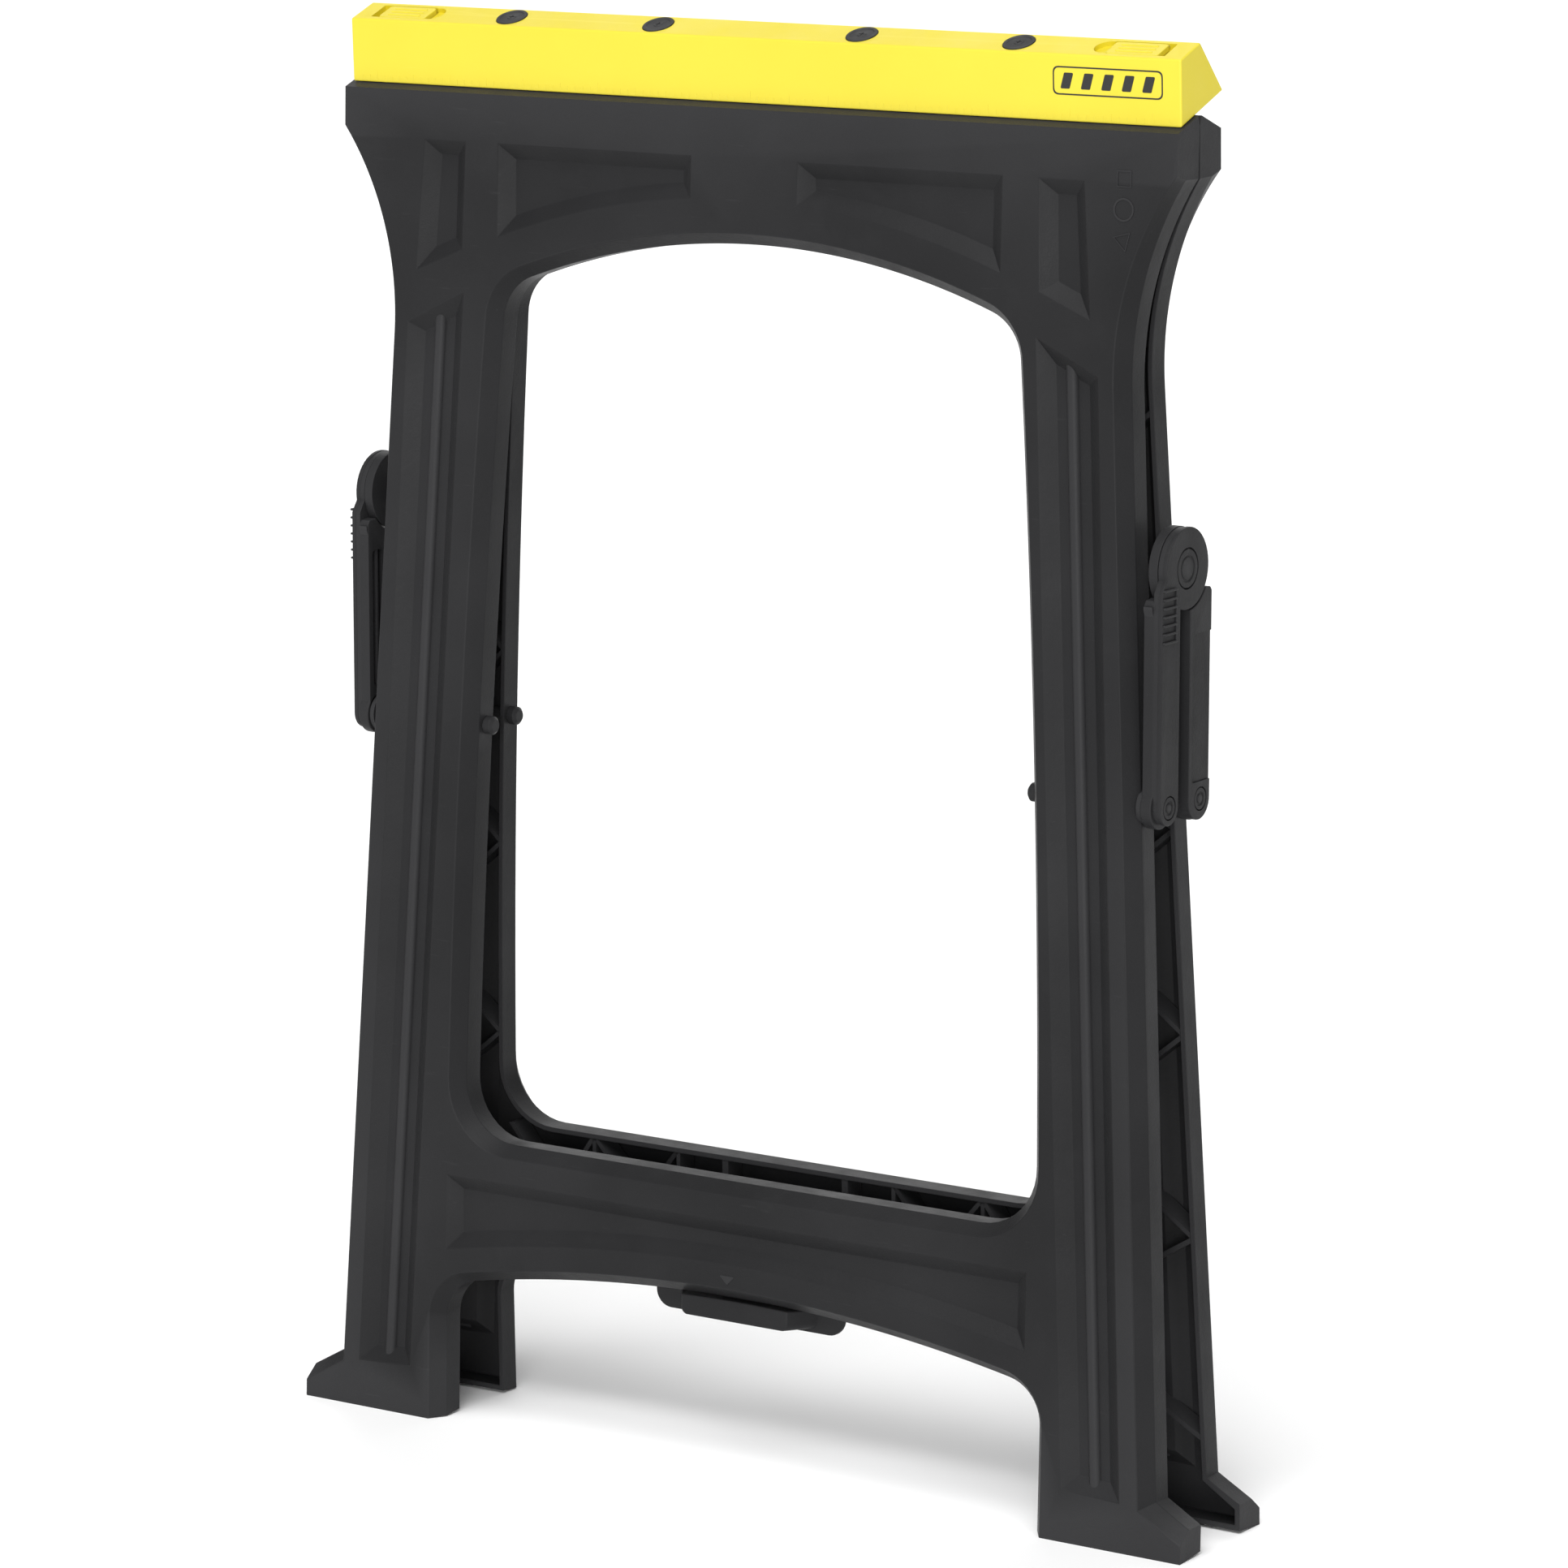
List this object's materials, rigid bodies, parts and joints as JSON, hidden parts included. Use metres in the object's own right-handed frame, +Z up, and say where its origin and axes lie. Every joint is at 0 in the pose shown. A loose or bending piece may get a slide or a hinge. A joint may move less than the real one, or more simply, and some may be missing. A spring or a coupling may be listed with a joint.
{
  "type": "folding sawhorse",
  "caption": "Folding moulded sawhorse: two hinged leg panels with open windows, a work beam with flip-up end stops and pads, folding side braces and a pull latch.",
  "frame": {"origin": "on the ground, in the middle of the folded sawhorse's footprint", "axes": "+X along the work beam, +Y from the front leg panel to the rear one, +Z up"},
  "size_m": [0.584, 0.0868, 0.8035],
  "materials": {
    "black_moulding": "fine-grained, semi-matte",
    "yellow_moulding": "smooth, semi-matte",
    "pad_rubber": "matte",
    "zinc_steel": "zinc plated"
  },
  "bodies": {
    "front_frame": {"front_leg_panel": "black_moulding", "top_beam": "yellow_moulding", "beam_pad_1": "pad_rubber", "beam_pad_2": "pad_rubber", "beam_pad_3": "pad_rubber", "beam_pad_4": "pad_rubber", "beam_screw_1": "zinc_steel", "beam_screw_2": "zinc_steel", "beam_screw_3": "zinc_steel", "beam_screw_4": "zinc_steel", "hinge_rod": "zinc_steel", "latch_pin": "zinc_steel", "latch_spring": "zinc_steel", "front_pivot_pin_left": "black_moulding", "front_pivot_pin_right": "black_moulding", "end_stop_pin_left": "zinc_steel", "end_stop_pin_right": "zinc_steel"},
    "rear_frame": {"rear_leg_panel": "black_moulding", "rear_pivot_pin_left": "black_moulding", "rear_pivot_pin_right": "black_moulding"},
    "front_arm_left": {"front_arm_left": "black_moulding", "knuckle_pin_left": "black_moulding"},
    "front_arm_right": {"front_arm_right": "black_moulding", "knuckle_pin_right": "black_moulding"},
    "rear_arm_left": {"rear_arm_left": "black_moulding", "rear_pivot_head_left": "black_moulding"},
    "rear_arm_right": {"rear_arm_right": "black_moulding", "rear_pivot_head_right": "black_moulding"},
    "end_stop_left": {"end_stop_left": "yellow_moulding"},
    "end_stop_right": {"end_stop_right": "yellow_moulding"},
    "latch": {"latch": "black_moulding"}
  },
  "joints": [
    {"name": "leg_fold", "type": "hinge", "parent": "front_frame", "child": "rear_frame", "pos_m": [0, 0, 0.76058], "axis": [1, 0, 0], "range_deg": [0, 36.2]},
    {"name": "latch_pull", "type": "hinge", "parent": "front_frame", "child": "latch", "pos_m": [0, -0.02248, 0.11696], "axis": [-1, 0, 0], "range_deg": [0, 12], "stiffness_Nm_per_rad": 0.08, "springref_deg": -17.19},
    {"name": "front_arm_left_turn", "type": "hinge", "parent": "front_frame", "child": "front_arm_left", "pos_m": [-0.259, -0.01634, 0.4029], "axis": [1, 0, 0], "range_deg": [-64.54, 0]},
    {"name": "knuckle_left_turn", "type": "hinge", "parent": "front_arm_left", "child": "rear_arm_left", "pos_m": [-0.259, 0, 0.5285], "axis": [1, 0, 0], "range_deg": [0, 165.27]},
    {"name": "end_stop_left_lift", "type": "hinge", "parent": "front_frame", "child": "end_stop_left", "pos_m": [-0.2494, -0.00747, 0.79806], "axis": [0, -0.9323, -0.3616], "range_deg": [0, 90]},
    {"name": "front_arm_right_turn", "type": "hinge", "parent": "front_frame", "child": "front_arm_right", "pos_m": [0.259, -0.01634, 0.4029], "axis": [1, 0, 0], "range_deg": [-64.54, 0]},
    {"name": "knuckle_right_turn", "type": "hinge", "parent": "front_arm_right", "child": "rear_arm_right", "pos_m": [0.259, 0, 0.5285], "axis": [1, 0, 0], "range_deg": [0, 165.27]},
    {"name": "end_stop_right_lift", "type": "hinge", "parent": "front_frame", "child": "end_stop_right", "pos_m": [0.2494, -0.00747, 0.79806], "axis": [0, 0.9323, 0.3616], "range_deg": [0, 90]}
  ],
  "couplings": [
    {"joint": "front_arm_left_turn", "follows": "leg_fold", "ratio": -1.7814},
    {"joint": "knuckle_left_turn", "follows": "leg_fold", "ratio": 4.5628},
    {"joint": "front_arm_right_turn", "follows": "leg_fold", "ratio": -1.7814},
    {"joint": "knuckle_right_turn", "follows": "leg_fold", "ratio": 4.5628}
  ]
}
